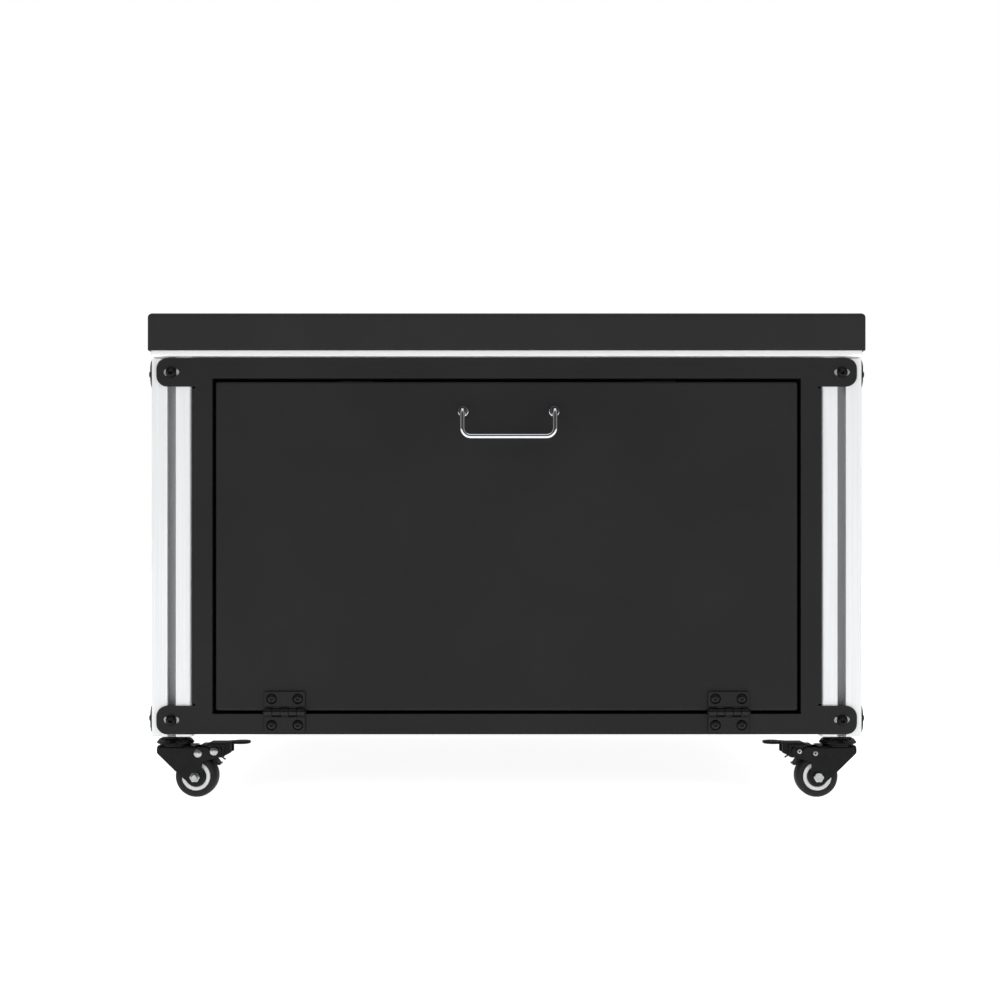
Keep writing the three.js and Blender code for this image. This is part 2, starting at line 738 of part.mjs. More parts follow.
for (const [hand, sideX] of [["left", -1], ["right", 1]]) {
  const pin = [sideX * hingeOffset, hingeAxisY, hingeAxisZ];
  place(frame, `hinge_frame_leaf_${hand}`, hingeLeaf(-1, 0), blackOxide, pin);
  place(frame, `hinge_door_leaf_${hand}`, hingeLeaf(1, 1), blackOxide, pin);
  place(frame, `hinge_pin_${hand}`, hingePin(), blackOxide, pin);
  place(frame, `magnet_catch_${hand}`, magnetCatch(), magnetPlastic, [
    sideX * magnetOffset,
    doorFace + doorDepth + restGap,
    openingTop - restGap,
  ]);
}

export default bench;
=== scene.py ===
"""The looks of a low mobile workbench: slot-profile frame, folded panels, drop-down door, brake castors.

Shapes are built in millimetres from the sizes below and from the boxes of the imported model's nodes,
and each finished piece is scaled to metres and rides on the body that carries it.
"""
import math

import bmesh
import bpy
from mathutils import Matrix, Vector


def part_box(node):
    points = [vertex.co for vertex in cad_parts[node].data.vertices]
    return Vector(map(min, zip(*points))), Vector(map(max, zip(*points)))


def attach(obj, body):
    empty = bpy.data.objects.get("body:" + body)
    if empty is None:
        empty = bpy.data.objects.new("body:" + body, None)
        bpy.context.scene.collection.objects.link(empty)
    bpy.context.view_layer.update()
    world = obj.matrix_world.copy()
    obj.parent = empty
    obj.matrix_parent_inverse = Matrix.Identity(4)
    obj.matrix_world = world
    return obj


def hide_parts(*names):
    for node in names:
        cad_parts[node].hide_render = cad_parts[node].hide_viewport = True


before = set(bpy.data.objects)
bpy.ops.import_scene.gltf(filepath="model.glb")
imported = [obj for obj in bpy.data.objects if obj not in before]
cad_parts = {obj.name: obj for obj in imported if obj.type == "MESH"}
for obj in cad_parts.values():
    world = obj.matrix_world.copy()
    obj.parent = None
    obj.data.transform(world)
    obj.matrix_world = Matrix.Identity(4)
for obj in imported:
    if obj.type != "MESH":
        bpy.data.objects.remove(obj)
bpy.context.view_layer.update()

MM = 0.001
SMOOTH_ABOVE = math.cos(math.radians(40))
UPRIGHT = Matrix.Identity(4)
FACING_FRONT = Matrix.Rotation(math.radians(90), 4, "X")
CORNERS = {"front_left": 0, "front_right": 180, "back_left": 0, "back_right": 180}

# Slot profile of the posts and rails. Below this depth its slots wear a darker grey, painted shade for their
# depth, and each post leaves this end gap under the rail.
PROFILE = 40.0
PROFILE_CORNER = 3.0
SLOT = 8.2
SLOT_LIP = 4.5
SLOT_EDGE = 0.5
SLOT_SHADE_BELOW = 1.5
CAVITY = 20.0
CAVITY_WALL = 3.5
CAVITY_FLOOR = 10.0
CAVITY_DEPTH = 12.25
CORE_BORE = 4.5
POST_END_GAP = 0.7

# Sheet steel. The cap's edge is its rolled radius, and its crown stands this much above its model node.
CAP_SHEET = 2.5
CAP_EDGE = 4.5
CAP_CORNER = 1.2
CAP_CROWN = 0.9
CAP_INSIDE_CORNER = 0.6
ROLL_STEPS = 5
DOOR_SHEET = 2.0
DOOR_CORNER = 2.5
DOOR_EDGE = 2.4
DOOR_LIP = 14.0
DOOR_INSIDE_CORNER = 0.8
FOLD = 1.6
SHEET_EDGE = 0.3
SHORTEST_FOLD = 60.0
SHORTEST_EDGE = 0.02

# Button-head bolts in the panels' ears, and the slot nuts that they pull on
BOLT = 3.0
BOLT_HEAD = 5.3
BOLT_HEAD_HEIGHT = 3.4
BOLT_SOCKET = 2.05
BOLT_SOCKET_DEPTH = 2.2
BOLT_REACH = 13.6
NUT_FACE = 7.4
SLOT_NUT = (15.0, 4.0, 12.0)
EAR_BOLT_INSET = 14.0

# Magnetic catches: the body's rounding, and how far the pole plate stands in from its ends, out and up
CATCH_EDGE = 1.2
POLE_INSET = (6.0, 0.25, 2.5)
POLE_EDGE = 0.3

# Hinges
HINGE = 40.0
LEAF = 2.0
LEAF_CORNER = 1.6
KNUCKLE = 3.4
KNUCKLES = 5
KNUCKLE_GAP = 0.3
PIN = 1.5
SCREW_OFFSET = 12.9
SCREW_HEAD = 4.5
SCREW_HEAD_HEIGHT = 2.3
SCREW_SOCKET = 1.5
SCREW_SINK = 1.3
SCREW_HOLE = 5.2
LEAF_SETBACK = 1.2

# Pull handle
ROD = 2.5
ROD_ELBOW = 6.0
ROD_BAR_BEND = 8.0
ROSETTE = 5.1
ROSETTE_HEIGHT = 1.6
HANDLE_NUT = 4.0
HANDLE_NUT_HEIGHT = 3.2

# Castors, drawn with the stem on Z, the floor at z = 0 and the wheel trailing towards +X
STEM = 4.0
STEM_TOP = 83.5
STEM_COLLAR = 8.0
CUP_TOP = 59.6
CUP_BOTTOM = 51.6
CUP = 18.5
CROWN_BOTTOM = 49.2
CHEEK_OUTER = 14.0
CHEEK_SHEET = 2.3
CROWN_BEND = 2.8
AXLE = (22.0, 21.0)
WHEEL = 21.0
WHEEL_WIDTH = 20.0
CORE = 14.2
HUB = 10.2
AXLE_BOLT = 3.0
AXLE_HEAD = 4.75
AXLE_HEAD_HEIGHT = 4.0
REAR_RIVET = (24.7, 44.3)
BRAKE_PIVOT = (40.5, 46.3)
PIVOT_BOSS = 7.6
RIVET_HEAD = 4.2
RIVET_HEAD_HEIGHT = 2.2
RIVET_TAIL = 2.45
BRACKET_END = 57.0
PEDAL_SHEET = 1.6
PEDAL_TIP = 75.0
PEDAL_TAB = 11.0
PEDAL_TAB_BOTTOM = 53.0
TAB_RISE = 0.4
TAB_THICK = 2.4
SHOE = 24.6
SHOE_LIP = 1.9
SHOE_SHEET = 1.8
SHOE_HALF_WIDTH = 8

# Studio: the camera's place in metres and its lens, and the light of the floor, room and lamps
CAMERA_AT = (0, -1.8651, 0.2405)
CAMERA_LENS = 57.76
CAMERA_SHIFT = (-0.00665, 0.055)
SENSOR = 36
FLOOR_GLOW = 0.9
FLOOR_REACH = 20
ROOM_BEHIND_CAMERA = 0.06
ROOM_BESIDE = 0.42
LAMPS_AIM_AT = (0, 0, 0.25)
# Each lamp: its name, place, size in metres, power in watts, and whether glossy surfaces mirror it.
LAMPS = (
    ("overhead_box", (0.0, -0.2, 2.4), 2.2, 10, True),
    ("left_box", (-1.05, -2.2, 1.1), 0.9, 13.5, False),
    ("right_box", (1.7, -2.2, 1.0), 1.3, 14, False),
)


def box_mm(node):
    """A node's lowest and highest corner at rest, in millimetres."""
    low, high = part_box(node)
    return low / MM, high / MM


# --- surfaces -------------------------------------------------------------------------------------


def linear(code):
    """An sRGB hex colour as a linear colour with full alpha."""
    channels = [int(code[i : i + 2], 16) / 255 for i in (1, 3, 5)]
    return tuple(c / 12.92 if c <= 0.04045 else ((c + 0.055) / 1.055) ** 2.4 for c in channels) + (1.0,)


def per_mm(size):
    """The scale of a pattern whose features are this many millimetres apart."""
    return 1 / (size * MM)


def add(tree, kind, settings=None, links=None):
    """Adds a shader node. Settings are its own or its sockets' values; links join sockets to outputs."""
    made = tree.nodes.new("ShaderNode" + kind)
    for key, value in (settings or {}).items():
        if isinstance(key, int) or key in made.inputs:
            made.inputs[key].default_value = value
        else:
            setattr(made, key, value)
    for key, source in (links or {}).items():
        tree.links.new(source, made.inputs[key])
    return made


def surface(name, shades, shade_mm, grain_mm, roughness, relief_mm, drawn_out=(1, 1, 1), **shader_values):
    """A material whose colour drifts between two shades in patches so many millimetres apart. Its grain
    moves the roughness between two values and stands so many millimetres proud. Both may be drawn out
    along an axis."""
    material = bpy.data.materials.new(name)
    material.use_nodes = True
    tree = material.node_tree
    tree.nodes.clear()
    values = {key.replace("_", " "): value for key, value in shader_values.items()}
    shader = add(tree, "BsdfPrincipled", values)
    add(tree, "OutputMaterial", links={"Surface": shader.outputs["BSDF"]})
    own = add(tree, "TexCoord").outputs["Object"]
    place = add(tree, "Mapping", {"Scale": drawn_out}, {"Vector": own}).outputs["Vector"]
    patches, grain = (
        add(tree, "TexNoise", {"Scale": per_mm(spacing), "Detail": 3.0}, {"Vector": place}).outputs["Fac"]
        for spacing in (shade_mm, grain_mm)
    )
    drift = add(tree, "ValToRGB", links={"Fac": patches})
    for stop, position, shade in zip(drift.color_ramp.elements, (0.35, 0.65), shades):
        stop.position, stop.color = position, linear(shade)
    spread = {"From Min": 0.3, "From Max": 0.7, "To Min": roughness[0], "To Max": roughness[1]}
    gloss = add(tree, "MapRange", spread, {"Value": grain})
    bump = add(tree, "Bump", {"Strength": 1.0, "Distance": relief_mm * MM}, {"Height": grain})
    for socket, source in (
        ("Base Color", drift.outputs["Color"]),
        ("Roughness", gloss.outputs["Result"]),
        ("Normal", bump.outputs["Normal"]),
    ):
        tree.links.new(source, shader.inputs[socket])
    return material


def powder_coated_steel(name, shades):
    """Cold-rolled sheet, powder coated in a fine matt texture, which gives a dull grain with a soft sheen.
    The grit is about 0.3 mm and is drawn at 1.1 mm so that it shows."""
    return surface(name, shades, 90, 1.1, (0.46, 0.62), 0.02, Metallic=0.0, Specular_IOR_Level=0.2)


def anodised_aluminium(name, shades, length):
    """Extruded aluminium, etched and clear anodised: pale and satin, with faint die lines along its length.
    Die lines are about 0.1 mm apart and are drawn at 0.9 mm."""
    return surface(name, shades, 0.9, 0.9, (0.42, 0.54), 0.0024, drawn_out=length, Metallic=0.4)


def slot_painted_shade_aluminium(name):
    """The inside of the profile's slots: a darker grey than the faces, painted shade for the slots' depth, in
    patches of about 1.5 mm."""
    return surface(name, ("#BCBEC0", "#C8CACC"), 1.5, 1.5, (0.55, 0.7), 0.006, Metallic=0.4)


def chrome_plate(name):
    """Steel rod, polished and chrome plated: a mirror with the slight haze that buffing leaves, in patches
    of about 3 mm."""
    return surface(name, ("#D8DADD", "#DCDEE1"), 3.0, 3.0, (0.05, 0.11), 0.0005, Metallic=1.0)


def black_oxide_steel(name, shades, shine):
    """Steel blackened in a hot oxide bath: near black, with an oily half gloss that is uneven up close.
    The bath's mottle is about 0.5 mm and is drawn at 1 mm."""
    return surface(name, shades, 1.0, 1.0, (0.26, 0.4), 0.003, Metallic=shine, Specular_IOR_Level=shine)


def stoved_black_paint(name):
    """Pressed steel dipped in black paint and stoved: satin, with a wavy skin of about 2 mm."""
    shades = ("#0B0B0C", "#131314")
    return surface(name, shades, 14, 2.0, (0.2, 0.3), 0.006, Metallic=0.0, Specular_IOR_Level=0.15)


def bright_zinc_plate(name):
    """Steel fasteners in bright zinc with a clear passivate: light, and a little cloudy in patches of
    about 1.6 mm."""
    return surface(name, ("#A6A8AA", "#C8CACB"), 1.6, 1.6, (0.26, 0.38), 0.003, Metallic=1.0)


def moulded_plastic(name, shades):
    """Injection-moulded polypropylene: waxy and even, with the fine spark-eroded grain of its mould.
    The grain is about 0.1 mm and is drawn at 0.9 mm."""
    waxy = {"Metallic": 0.0, "IOR": 1.49, "Specular_IOR_Level": 0.4}
    return surface(name, shades, 11, 0.9, (0.42, 0.56), 0.003, **waxy)


def moulded_rubber(name):
    """Black tread rubber as it leaves the mould: dull, dry and faintly dusty, with a skin of about 0.7 mm."""
    dry = {"Metallic": 0.0, "IOR": 1.52, "Specular_IOR_Level": 0.3}
    return surface(name, ("#1A1A1A", "#242423"), 7, 0.7, (0.62, 0.8), 0.015, **dry)


def painted_floor(name):
    """Matt painted board, nearly white, with a tooth of about 3 mm that is too slight to cast a shadow. It
    gives off some light of its own, so that shadows on it stay pale."""
    glow = {"Emission_Color": linear("#FFFFFF"), "Emission_Strength": FLOOR_GLOW}
    matt = {"Metallic": 0.0, "Specular_IOR_Level": 0.1}
    return surface(name, ("#F3F3F3", "#F6F6F6"), 30, 3.0, (0.86, 0.94), 0.001, **matt, **glow)


ALONG_X = (0.006, 1, 1)
ALONG_Y = (1, 0.006, 1)
ALONG_Z = (1, 1, 0.006)
POST_SHADES = ("#ECEDEE", "#F4F5F6")
# The rails are the same anodised extrusion as the posts but a lighter grey: painted light that lifts them out
# of the cap's shadow.
RAIL_SHADES_PAINTED_LIGHT = ("#F9F9FA", "#FDFDFD")

# Each finish: its material and the record's slot that it belongs to.
FINISHES = {
    "panel": (powder_coated_steel("powder_coated_panel_steel", ("#1E1E1F", "#212122")), "panel_steel"),
    "cap": (powder_coated_steel("powder_coated_worktop_steel", ("#242425", "#272728")), "worktop_steel"),
    "post": (anodised_aluminium("anodised_aluminium_upright", POST_SHADES, ALONG_Z), "profile_aluminium"),
    # The rails' lighter shades are painted light against the cap's shadow.
    "rail_x": (anodised_aluminium("anodised_aluminium_across_painted_light", RAIL_SHADES_PAINTED_LIGHT, ALONG_X), "profile_aluminium"),
    "rail_y": (anodised_aluminium("anodised_aluminium_deep_painted_light", RAIL_SHADES_PAINTED_LIGHT, ALONG_Y), "profile_aluminium"),
    # The slot finish is painted shade: a darker grey for the inside of the profile's slots.
    "slot": (slot_painted_shade_aluminium("aluminium_slot_painted_shade"), "profile_aluminium"),
    "chrome": (chrome_plate("chrome_plated_rod"), "chrome_rod"),
    "hinge": (black_oxide_steel("black_oxide_hinge_steel", ("#131314", "#1A1A1B"), 0.35), "black_hinge"),
    # The bolt finish also darkens the pedal's end stop as painted shade.
    "bolt": (black_oxide_steel("black_oxide_bolt_steel_and_painted_shade", ("#060607", "#0B0B0C"), 0.2), "black_fastener"),
    "castor": (stoved_black_paint("stoved_black_castor_steel"), "castor_steel"),
    "zinc": (bright_zinc_plate("bright_zinc_hardware"), "zinc_hardware"),
    "core": (moulded_plastic("moulded_grey_polypropylene", ("#DADBDC", "#E2E3E4")), "wheel_core_plastic"),
    "hub": (moulded_plastic("moulded_black_polypropylene", ("#141415", "#1B1B1C")), "hub_cap_plastic"),
    "tyre": (moulded_rubber("moulded_black_rubber"), "tyre_rubber"),
    "catch": (moulded_plastic("moulded_black_catch_plastic", ("#1B1B1C", "#222223")), "catch_plastic"),
}


# --- shapes ---------------------------------------------------------------------------------------


def merge(target, source, place=UPRIGHT):
    """Moves one shape to its place and adds it to another."""
    source.transform(place)
    carrier = bpy.data.meshes.new("carrier")
    source.to_mesh(carrier)
    source.free()
    target.from_mesh(carrier)
    bpy.data.meshes.remove(carrier)
    return target


def skinned(rings, closed=False):
    """A solid skinned over a row of point rings of equal length. A closed row comes back to its first."""
    shape = bmesh.new()
    rows = [[shape.verts.new(point) for point in ring] for ring in rings]
    pairs = list(zip(rows, rows[1:]))
    if closed:
        pairs.append((rows[-1], rows[0]))
    for lower, upper in pairs:
        for i in range(len(lower)):
            j = (i + 1) % len(lower)
            shape.faces.new((lower[i], lower[j], upper[j], upper[i]))
    if not closed:
        shape.faces.new(rows[0][::-1])
        shape.faces.new(rows[-1])
    bmesh.ops.recalc_face_normals(shape, faces=shape.faces)
    return shape


def turned(steps, sides=24, closed=False):
    """A turned part about Z, from (radius, height) steps. A third number makes that step a polygon of
    so many flats, with the radius measured to a flat."""
    rings = []
    for radius, height, *flats in steps:
        ring = []
        for i in range(sides):
            angle = math.tau * i / sides
            reach = radius
            if flats:
                part = math.tau / flats[0]
                reach = radius / math.cos(angle % part - part / 2)
            ring.append((reach * math.cos(angle), reach * math.sin(angle), height))
        rings.append(ring)
    return skinned(rings, closed)


def rounded_outline(half_x, half_y, corner, steps=5, centre=(0, 0)):
    """Points round a rectangle with round corners."""
    points = []
    for turn, (sign_x, sign_y) in enumerate([(1, 1), (-1, 1), (-1, -1), (1, -1)]):
        for i in range(steps + 1):
            angle = math.radians(90 * (turn + i / steps))
            points.append((
                centre[0] + sign_x * (half_x - corner) + corner * math.cos(angle),
                centre[1] + sign_y * (half_y - corner) + corner * math.sin(angle),
            ))
    return points


def eased(points, radii, steps=4):
    """An outline whose corners are rounded, each by its own radius."""
    made = []
    for i, (corner, radius) in enumerate(zip(points, radii)):
        here = Vector(corner)
        before = Vector(points[i - 1]) - here
        after = Vector(points[(i + 1) % len(points)]) - here
        if radius <= 0:
            made.append(tuple(here))
            continue
        opening = before.angle(after)
        run = min(radius / math.tan(opening / 2), before.length * 0.49, after.length * 0.49)
        start, end = here + before.normalized() * run, here + after.normalized() * run
        for k in range(steps + 1):
            t = k / steps
            made.append(tuple(start * (1 - t) ** 2 + here * (2 * t * (1 - t)) + end * t * t))
    return made


def plate(outlines, thickness, edge):
    """A flat sheet in X and Y with its middle at z = 0. The first outline is its rim and the rest are
    holes; every rim is rounded by the edge radius."""
    curve = bpy.data.curves.new("outline", "CURVE")
    curve.dimensions, curve.fill_mode = "2D", "BOTH"
    curve.extrude, curve.bevel_depth, curve.offset = thickness / 2 - edge, edge, -edge
    curve.bevel_resolution = 1
    for points in outlines:
        spline = curve.splines.new("POLY")
        spline.points.add(len(points) - 1)
        for made, (x, y) in zip(spline.points, points):
            made.co = (x, y, 0, 1)
        spline.use_cyclic_u = True
    holder = bpy.data.objects.new("outline", curve)
    cut = bpy.data.meshes.new_from_object(holder)
    shape = bmesh.new()
    shape.from_mesh(cut)
    bmesh.ops.remove_doubles(shape, verts=shape.verts, dist=1e-4)
    bmesh.ops.recalc_face_normals(shape, faces=shape.faces)
    bpy.data.objects.remove(holder)
    bpy.data.curves.remove(curve)
    bpy.data.meshes.remove(cut)
    return shape


def swept(path, radius, sides=20):
    """A round rod along a path of points."""
    points = [Vector(p) for p in path]
    rings = []
    side = Vector((0, 0, 1))
    for i, point in enumerate(points):
        ahead = (points[min(i + 1, len(points) - 1)] - points[max(i - 1, 0)]).normalized()
        level = abs(side.dot(ahead)) < 0.99
        side = (side - ahead * side.dot(ahead)).normalized() if level else Vector((1, 0, 0))
        other = ahead.cross(side)
        rings.append([
            point + radius * (side * math.cos(math.tau * k / sides) + other * math.sin(math.tau * k / sides))
            for k in range(sides)
        ])
    return skinned(rings)


def block(low, high, edge):
    """A rectangular block between two corners, its edges rounded."""
    shape = bmesh.new()
    bmesh.ops.create_cube(shape, size=1)
    middle, size = (Vector(low) + Vector(high)) / 2, Vector(high) - Vector(low)
    shape.transform(Matrix.Translation(middle) @ Matrix.Diagonal((*size, 1)))
    bmesh.ops.bevel(shape, geom=shape.edges[:], offset=edge, segments=2, affect="EDGES", profile=0.5)
    return shape


def softened(node, face_axis, face_at, fold, edge):
    """A model node's shape with rounded edges: its long edges in the outer face are sheet folds and get
    the fold's radius, and every other sharp edge is eased."""
    shape = bmesh.new()
    shape.from_mesh(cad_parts[node].data)
    shape.transform(Matrix.Scale(1 / MM, 4))
    bmesh.ops.remove_doubles(shape, verts=shape.verts, dist=0.002)
    bmesh.ops.dissolve_limit(shape, angle_limit=math.radians(1), verts=shape.verts, edges=shape.edges)
    rounding = {"affect": "EDGES", "profile": 0.5, "clamp_overlap": True}
    if fold:
        folds = [
            e for e in shape.edges
            if all(abs(v.co[face_axis] - face_at) < 0.01 for v in e.verts)
            and e.calc_length() > SHORTEST_FOLD and e.calc_face_angle(0) > math.radians(60)
        ]
        bmesh.ops.bevel(shape, geom=folds, offset=fold, segments=3, **rounding)
    sharp = [e for e in shape.edges if e.calc_face_angle(0) > math.radians(50)]
    bmesh.ops.bevel(shape, geom=sharp, offset=edge, segments=1, **rounding)
    bmesh.ops.dissolve_degenerate(shape, dist=SHORTEST_EDGE, edges=shape.edges)
    return shape


def marked(shape):
    """Marks a whole shape to wear the inside finish of the piece that it joins."""
    for face in shape.faces:
        face.material_index = 1
    return shape


def even_normals(mesh):
    """A normal for each face corner: the mean of the faces round it that turn little from its own face, the
    larger counting far more, so that flat sheet shades flat and bends shade round."""
    faces = [(face.normal.copy(), (face.area / MM**2) ** 2, tuple(face.vertices)) for face in mesh.polygons]
    around = [[] for vertex in mesh.vertices]
    for normal, weight, corners in faces:
        for corner in corners:
            around[corner].append((normal, weight))
    normals = []
    for normal, weight, corners in faces:
        for corner in corners:
            total = normal * 1e-9
            for near, size in around[corner]:
                if near.dot(normal) > SMOOTH_ABOVE:
                    total = total + near * size
            normals.append(total.normalized())
    return normals


def piece(name, shape, finish, body, *replaced, inside=None):
    """Makes a finished shape an object in metres that rides on a body and stands for model nodes.
    Faces marked as the second material wear the inside finish."""
    shape.transform(Matrix.Scale(MM, 4))
    for face in shape.faces:
        face.smooth = True
    mesh = bpy.data.meshes.new(name)
    shape.to_mesh(mesh)
    shape.free()
    mesh.normals_split_custom_set(even_normals(mesh))
    material, slot = FINISHES[finish]
    mesh.materials.append(material)
    if inside:
        mesh.materials.append(FINISHES[inside][0])
    made = bpy.data.objects.new(name, mesh)
    bpy.context.scene.collection.objects.link(made)
    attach(made, body)
    if replaced:
        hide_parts(*replaced)
    return made


# --- studio ---------------------------------------------------------------------------------------


def studio():
    """The camera, three soft boxes, a white surround that is dim behind the camera, and a pale floor."""
    scene = bpy.context.scene
    scene.view_settings.view_transform = "Standard"
    camera = bpy.data.cameras.new("camera")
    camera.sensor_width, camera.lens = SENSOR, CAMERA_LENS
    camera.shift_x, camera.shift_y = CAMERA_SHIFT
    stand = bpy.data.objects.new("camera", camera)
    stand.location = CAMERA_AT
    stand.rotation_euler = (math.radians(90), 0, 0)
    scene.collection.objects.link(stand)
    scene.camera = stand

    world = bpy.data.worlds.new("surround")
    world.use_nodes = True
    tree = world.node_tree
    tree.nodes.clear()
    heading = add(tree, "SeparateXYZ", links={0: add(tree, "TexCoord").outputs["Generated"]}).outputs["Y"]
    fall = {"From Min": -0.9, "From Max": 0.0, "To Min": ROOM_BEHIND_CAMERA, "To Max": ROOM_BESIDE}
    glow = add(tree, "MapRange", fall, {"Value": heading})
    room = add(tree, "Background", {"Color": linear("#FFFFFF")}, {"Strength": glow.outputs["Result"]})
    backdrop = add(tree, "Background", {"Color": linear("#FFFFFF"), "Strength": 1.0})
    seen = add(tree, "LightPath").outputs["Is Camera Ray"]
    mixed = add(tree, "MixShader", links={0: seen, 1: room.outputs[0], 2: backdrop.outputs[0]})
    add(tree, "OutputWorld", links={"Surface": mixed.outputs[0]})
    scene.world = world

    for name, place, size, power, mirrored in LAMPS:
        lamp = bpy.data.lights.new(name, "AREA")
        lamp.shape, lamp.size, lamp.energy = "SQUARE", size, power
        hung = bpy.data.objects.new(name, lamp)
        hung.location = place
        hung.visible_glossy = mirrored
        hung.rotation_euler = (Vector(LAMPS_AIM_AT) - Vector(place)).to_track_quat("-Z", "Y").to_euler()
        scene.collection.objects.link(hung)

    ground = bmesh.new()
    bmesh.ops.create_grid(ground, x_segments=8, y_segments=8, size=FLOOR_REACH)
    mesh = bpy.data.meshes.new("floor")
    ground.to_mesh(mesh)
    ground.free()
    mesh.materials.append(painted_floor("matt_white_floor"))
    floor = bpy.data.objects.new("floor", mesh)
    scene.collection.objects.link(floor)


# --- the bench's frame and sheets -----------------------------------------------------------------


def profile_outline():
    """The slot profile's rim: a slot with eased lips and its cavity in each side, round corners between."""
    half = PROFILE / 2
    side = [
        (SLOT / 2 + SLOT_EDGE, half),
        (SLOT / 2 + SLOT_EDGE * 0.3, half - SLOT_EDGE * 0.3),
        (SLOT / 2, half - SLOT_EDGE),
        (SLOT / 2, half - SLOT_LIP),
        (CAVITY / 2, half - SLOT_LIP),
        (CAVITY / 2, half - SLOT_LIP - CAVITY_WALL),
        (CAVITY_FLOOR / 2, half - CAVITY_DEPTH),
    ]
    corner = [
        (
            -(half - PROFILE_CORNER) + PROFILE_CORNER * math.cos(math.radians(90 + 90 * i / 6)),
            half - PROFILE_CORNER + PROFILE_CORNER * math.sin(math.radians(90 + 90 * i / 6)),
        )
        for i in range(7)
    ]
    quarter = side + [(-x, y) for x, y in reversed(side)] + corner
    points = []
    for turn in range(4):
        cos, sin = round(math.cos(turn * math.pi / 2)), round(math.sin(turn * math.pi / 2))
        points += [(x * cos - y * sin, x * sin + y * cos) for x, y in quarter]
    return points


def extrusion(length):
    """A length of slot profile along Z from z = 0, with its core bore."""
    bore = [
        (CORE_BORE * math.cos(-math.tau * i / 20), CORE_BORE * math.sin(-math.tau * i / 20))
        for i in range(20)
    ]
    shape = bmesh.new()
    rims = []
    for points in (profile_outline(), bore):
        made = [shape.verts.new((x, y, 0)) for x, y in points]
        rims += [shape.edges.new((made[i], made[(i + 1) % len(made)])) for i in range(len(made))]
    filled = bmesh.ops.triangle_fill(shape, use_beauty=True, use_dissolve=False, edges=rims)
    faces = [f for f in filled["geom"] if isinstance(f, bmesh.types.BMFace)]
    risen = bmesh.ops.extrude_face_region(shape, geom=faces, use_keep_orig=True)
    for vert in (v for v in risen["geom"] if isinstance(v, bmesh.types.BMVert)):
        vert.co.z = length
    bmesh.ops.recalc_face_normals(shape, faces=shape.faces)
    # Faces deeper than this in the slots wear the slot finish, a darker grey that is painted shade.
    inside = PROFILE / 2 - SLOT_SHADE_BELOW
    for face in shape.faces:
        middle = face.calc_center_median()
        face.material_index = int(max(abs(middle.x), abs(middle.y)) < inside and abs(face.normal.z) < 0.5)
    return shape


def posts():
    """The four corner posts, each a length of profile with a small gap at its top."""
    for corner in CORNERS:
        low, high = box_mm(f"post_{corner}")
        middle = (low + high) / 2
        shape = extrusion(high.z - low.z - POST_END_GAP)
        shape.transform(Matrix.Translation((middle.x, middle.y, low.z)))
        # Its slot faces wear the darker slot finish, painted shade.
        piece(f"slot_post_{corner}", shape, "post", "bench", f"post_{corner}", inside="slot")


def rails():
    """The top frame's four rails, mitred at their ends."""
    for side, turn, finish in (
        ("front", 0, "rail_x"), ("right", 90, "rail_y"), ("back", 180, "rail_x"), ("left", 270, "rail_y"),
    ):
        low, high = box_mm(f"rail_{side}")
        run = max(high.x - low.x, high.y - low.y)
        shape = extrusion(run)
        shape.transform(Matrix.Rotation(math.radians(90), 4, "Y") @ Matrix.Translation((0, 0, -run / 2)))
        for vert in shape.verts:
            vert.co.x = math.copysign(run / 2 - (PROFILE / 2 + vert.co.y), vert.co.x)
        shape.transform(
            Matrix.Translation((low + high) / 2) @ Matrix.Rotation(math.radians(turn), 4, "Z")
        )
        bmesh.ops.recalc_face_normals(shape, faces=shape.faces)
        # Its slot faces wear the darker slot finish, painted shade.
        piece(f"slot_rail_{side}", shape, finish, "bench", f"rail_{side}", inside="slot")


def pan(steps):
    """A pressed or folded pan about Z: each step is (half width, half depth, corner radius, height)."""
    return skinned([
        [(x, y, height) for x, y in rounded_outline(half_x, half_y, corner)]
        for half_x, half_y, corner, height in steps
    ])


def worktop():
    """The cap: a shallow pan turned over the frame, its top edges rolled."""
    low, high = box_mm("worktop")
    half_x, half_y = (high.x - low.x) / 2, (high.y - low.y) / 2
    foot, top, sheet = low.z, high.z + CAP_CROWN, CAP_SHEET
    inside = CAP_INSIDE_CORNER
    steps = [
        (half_x - sheet, half_y - sheet, inside, high.z - sheet),
        (half_x - sheet, half_y - sheet, inside, foot + SHEET_EDGE),
        (half_x - sheet + SHEET_EDGE, half_y - sheet + SHEET_EDGE, inside + SHEET_EDGE, foot),
        (half_x - SHEET_EDGE, half_y - SHEET_EDGE, CAP_CORNER - SHEET_EDGE, foot),
        (half_x, half_y, CAP_CORNER, foot + SHEET_EDGE),
    ]
    for i in range(ROLL_STEPS + 1):
        angle = math.radians(90 * i / ROLL_STEPS)
        inset = CAP_EDGE * (1 - math.cos(angle))
        height = top - CAP_EDGE + CAP_EDGE * math.sin(angle)
        steps.append((half_x - inset, half_y - inset, CAP_CORNER - inset * 0.25, height))
    shape = pan(steps)
    shape.transform(Matrix.Translation(((low.x + high.x) / 2, (low.y + high.y) / 2, 0)))
    piece("worktop_cap", shape, "cap", "bench", "worktop")


def panels():
    """The folded panels and the floor tray, with rounded folds."""
    for node, axis, outer in (
        ("front_frame", 1, "low"), ("back_panel", 1, "high"),
        ("side_panel_left", 0, "low"), ("side_panel_right", 0, "high"),
    ):
        low, high = box_mm(node)
        face = (low if outer == "low" else high)[axis]
        piece(f"folded_{node}", softened(node, axis, face, FOLD, SHEET_EDGE), "panel", "bench", node)
    piece("folded_floor_tray", softened("floor_tray", 2, 0, 0, SHEET_EDGE), "panel", "bench", "floor_tray")


